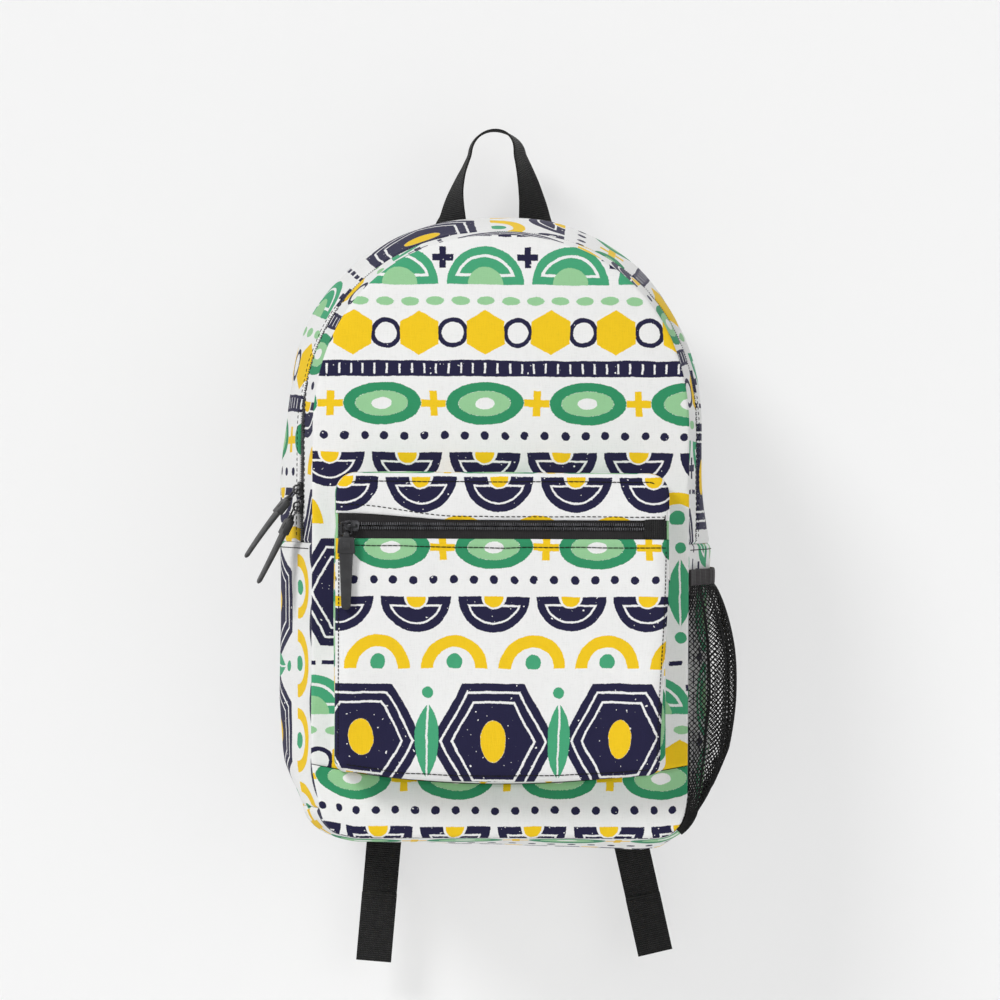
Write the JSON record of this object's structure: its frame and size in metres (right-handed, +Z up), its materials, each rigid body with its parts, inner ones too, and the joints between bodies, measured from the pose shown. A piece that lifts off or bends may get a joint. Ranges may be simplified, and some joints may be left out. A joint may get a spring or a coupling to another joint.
{
  "type": "fabric backpack",
  "caption": "Arched fabric daypack with a zipped front pocket, net side pocket, padded shoulder straps and a webbing grab loop it hangs by.",
  "frame": {"origin": "inside top of the grab loop, the point that rests on what the bag hangs from", "axes": "+Z up, -Y out of the front panel, +X to the viewer's right when facing the front"},
  "size_m": [0.3503, 0.2095, 0.6002],
  "materials": {
    "printed_cloth": "white plain weave polyester with a printed pattern in navy, yellow and green",
    "back_cloth": "black woven cloth",
    "webbing": "ribbed black webbing",
    "elastic": "dark elastic binding",
    "net": "black knitted net",
    "zip_tape": "dark woven zip tape",
    "zip_coil": "black nylon coil",
    "zip_metal": "black enamelled die cast metal and wire",
    "pull_rubber": "satin dark moulded rubber",
    "lock_plastic": "black moulded plastic"
  },
  "bodies": {
    "bag": {"front_panel": "printed_cloth", "base_front_panel": "printed_cloth", "back_panel": "back_cloth", "bottom_panel": "printed_cloth", "side_gusset_left": "printed_cloth", "side_gusset_right": "printed_cloth", "gusset_front_strip": "printed_cloth", "gusset_back_strip": "printed_cloth", "main_zip_front_tape": "zip_tape", "main_zip_back_tape": "zip_tape", "main_zip_coil": "zip_coil", "pocket_front_panel": "printed_cloth", "pocket_top_band": "printed_cloth", "pocket_gusset": "printed_cloth", "pocket_zip_upper_tape": "zip_tape", "pocket_zip_lower_tape": "zip_tape", "pocket_zip_coil": "zip_coil", "pocket_zip_end_tab": "zip_tape", "mesh_pocket": "net", "mesh_pocket_band": "elastic", "grab_loop": "webbing", "shoulder_strap_left": "back_cloth", "shoulder_strap_right": "back_cloth", "lock_loop_left": "webbing", "lock_loop_right": "webbing", "ladder_lock_left": "lock_plastic", "ladder_lock_right": "lock_plastic", "strap_webbing_left": "webbing", "strap_webbing_right": "webbing", "anchor_tab_left": "back_cloth", "anchor_tab_right": "back_cloth"},
    "upper_slider": {"main_slider_upper": "zip_metal"},
    "upper_bail": {"main_bail_upper": "zip_metal"},
    "upper_pull": {"main_pull_upper": "pull_rubber"},
    "lower_slider": {"main_slider_lower": "zip_metal"},
    "lower_bail": {"main_bail_lower": "zip_metal"},
    "lower_pull": {"main_pull_lower": "pull_rubber"},
    "front_slider": {"pocket_slider": "zip_metal"},
    "front_bail": {"pocket_bail": "zip_metal"},
    "front_pull": {"pocket_pull": "pull_rubber"}
  },
  "joints": [
    {"name": "upper_slider_travel", "type": "slide", "parent": "bag", "child": "upper_slider", "axis": [0, 0, 1], "range_m": [0, 0.033]},
    {"name": "upper_bail_swing", "type": "hinge", "parent": "upper_slider", "child": "upper_bail", "pos_m": [-0.14271, -0.10203, -0.257], "axis": [-0.3206, 0.9472, 0], "range_deg": [-12, 85]},
    {"name": "upper_pull_swing", "type": "hinge", "parent": "upper_bail", "child": "upper_pull", "pos_m": [-0.1481, -0.10385, -0.26332], "axis": [-0.3206, 0.9472, 0], "range_deg": [-12, 60]},
    {"name": "lower_slider_travel", "type": "slide", "parent": "bag", "child": "lower_slider", "axis": [0, 0, 1], "range_m": [-0.018, 0]},
    {"name": "lower_bail_swing", "type": "hinge", "parent": "lower_slider", "child": "lower_bail", "pos_m": [-0.14271, -0.10203, -0.269], "axis": [-0.3206, 0.9472, 0], "range_deg": [-12, 12]},
    {"name": "lower_pull_swing", "type": "hinge", "parent": "lower_bail", "child": "lower_pull", "pos_m": [-0.14637, -0.10326, -0.27657], "axis": [-0.3206, 0.9472, 0], "range_deg": [-14, 16]},
    {"name": "front_slider_travel", "type": "slide", "parent": "bag", "child": "front_slider", "axis": [1, 0, 0], "range_m": [0, 0.196]},
    {"name": "front_bail_swing", "type": "hinge", "parent": "front_slider", "child": "front_bail", "pos_m": [-0.1052, -0.1666, -0.28295], "axis": [0, 0, 1], "range_deg": [0, 85]},
    {"name": "front_pull_swing", "type": "hinge", "parent": "front_bail", "child": "front_pull", "pos_m": [-0.1088, -0.1666, -0.2872], "axis": [-1, 0, 0], "range_deg": [0, 95]}
  ]
}
